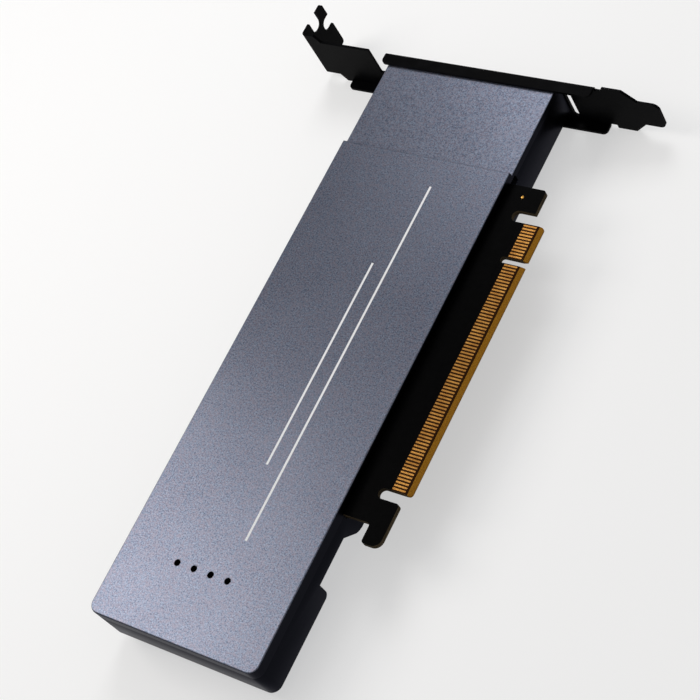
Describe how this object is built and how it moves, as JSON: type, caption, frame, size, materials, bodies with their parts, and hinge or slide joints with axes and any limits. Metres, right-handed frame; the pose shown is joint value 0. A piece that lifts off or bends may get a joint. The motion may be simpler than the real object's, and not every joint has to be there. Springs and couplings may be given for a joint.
{
  "type": "nvme adapter card",
  "caption": "Full-height expansion card that carries M.2 drives in a sixteen-lane slot, with the board enclosed in a long aluminium heat-sink housing.",
  "frame": {"origin": "centre of the bounding box's lower face", "axes": "+X from the screw tab towards the edge connector, +Y from the card's far end towards the slot bracket, +Z out of the solder side"},
  "size_m": [0.12, 0.2002, 0.0214],
  "materials": {
    "shell_metal": "anodised, fine satin",
    "laminate": "satin solder mask",
    "contact_gold": "plated, smooth",
    "bracket_steel": "satin black coating",
    "screw_steel": "dark plated",
    "standoff_brass": "turned",
    "socket_plastic": "moulded",
    "thermal_pad": "soft, matt",
    "ferrite": "moulded, grainy",
    "capacitor": "moulded",
    "chip": "moulded",
    "lamp": "clear epoxy",
    "resistor": "glazed"
  },
  "bodies": {
    "root": {"back_shell": "shell_metal", "bracket": "bracket_steel", "bracket_screws": "screw_steel", "bulk_capacitor_1": "capacitor", "bulk_capacitor_2": "capacitor", "bulk_capacitor_3": "capacitor", "bulk_capacitor_4": "capacitor", "clock_buffer": "chip", "edge_contacts": "contact_gold", "front_shell": "shell_metal", "led_resistor_1": "resistor", "led_resistor_2": "resistor", "led_resistor_3": "resistor", "led_resistor_4": "resistor", "m2_screws": "screw_steel", "m2_socket_1": "socket_plastic", "m2_socket_2": "socket_plastic", "m2_socket_3": "socket_plastic", "m2_socket_4": "socket_plastic", "m2_standoffs": "standoff_brass", "main_board": "laminate", "power_inductor_1": "ferrite", "power_inductor_2": "ferrite", "power_inductor_3": "ferrite", "power_inductor_4": "ferrite", "regulator_1": "chip", "regulator_2": "chip", "regulator_3": "chip", "regulator_4": "chip", "shell_screws": "screw_steel", "status_led_1": "lamp", "status_led_2": "lamp", "status_led_3": "lamp", "status_led_4": "lamp", "thermal_pad_1": "thermal_pad", "thermal_pad_2": "thermal_pad", "thermal_pad_3": "thermal_pad", "thermal_pad_4": "thermal_pad"}
  },
  "joints": []
}
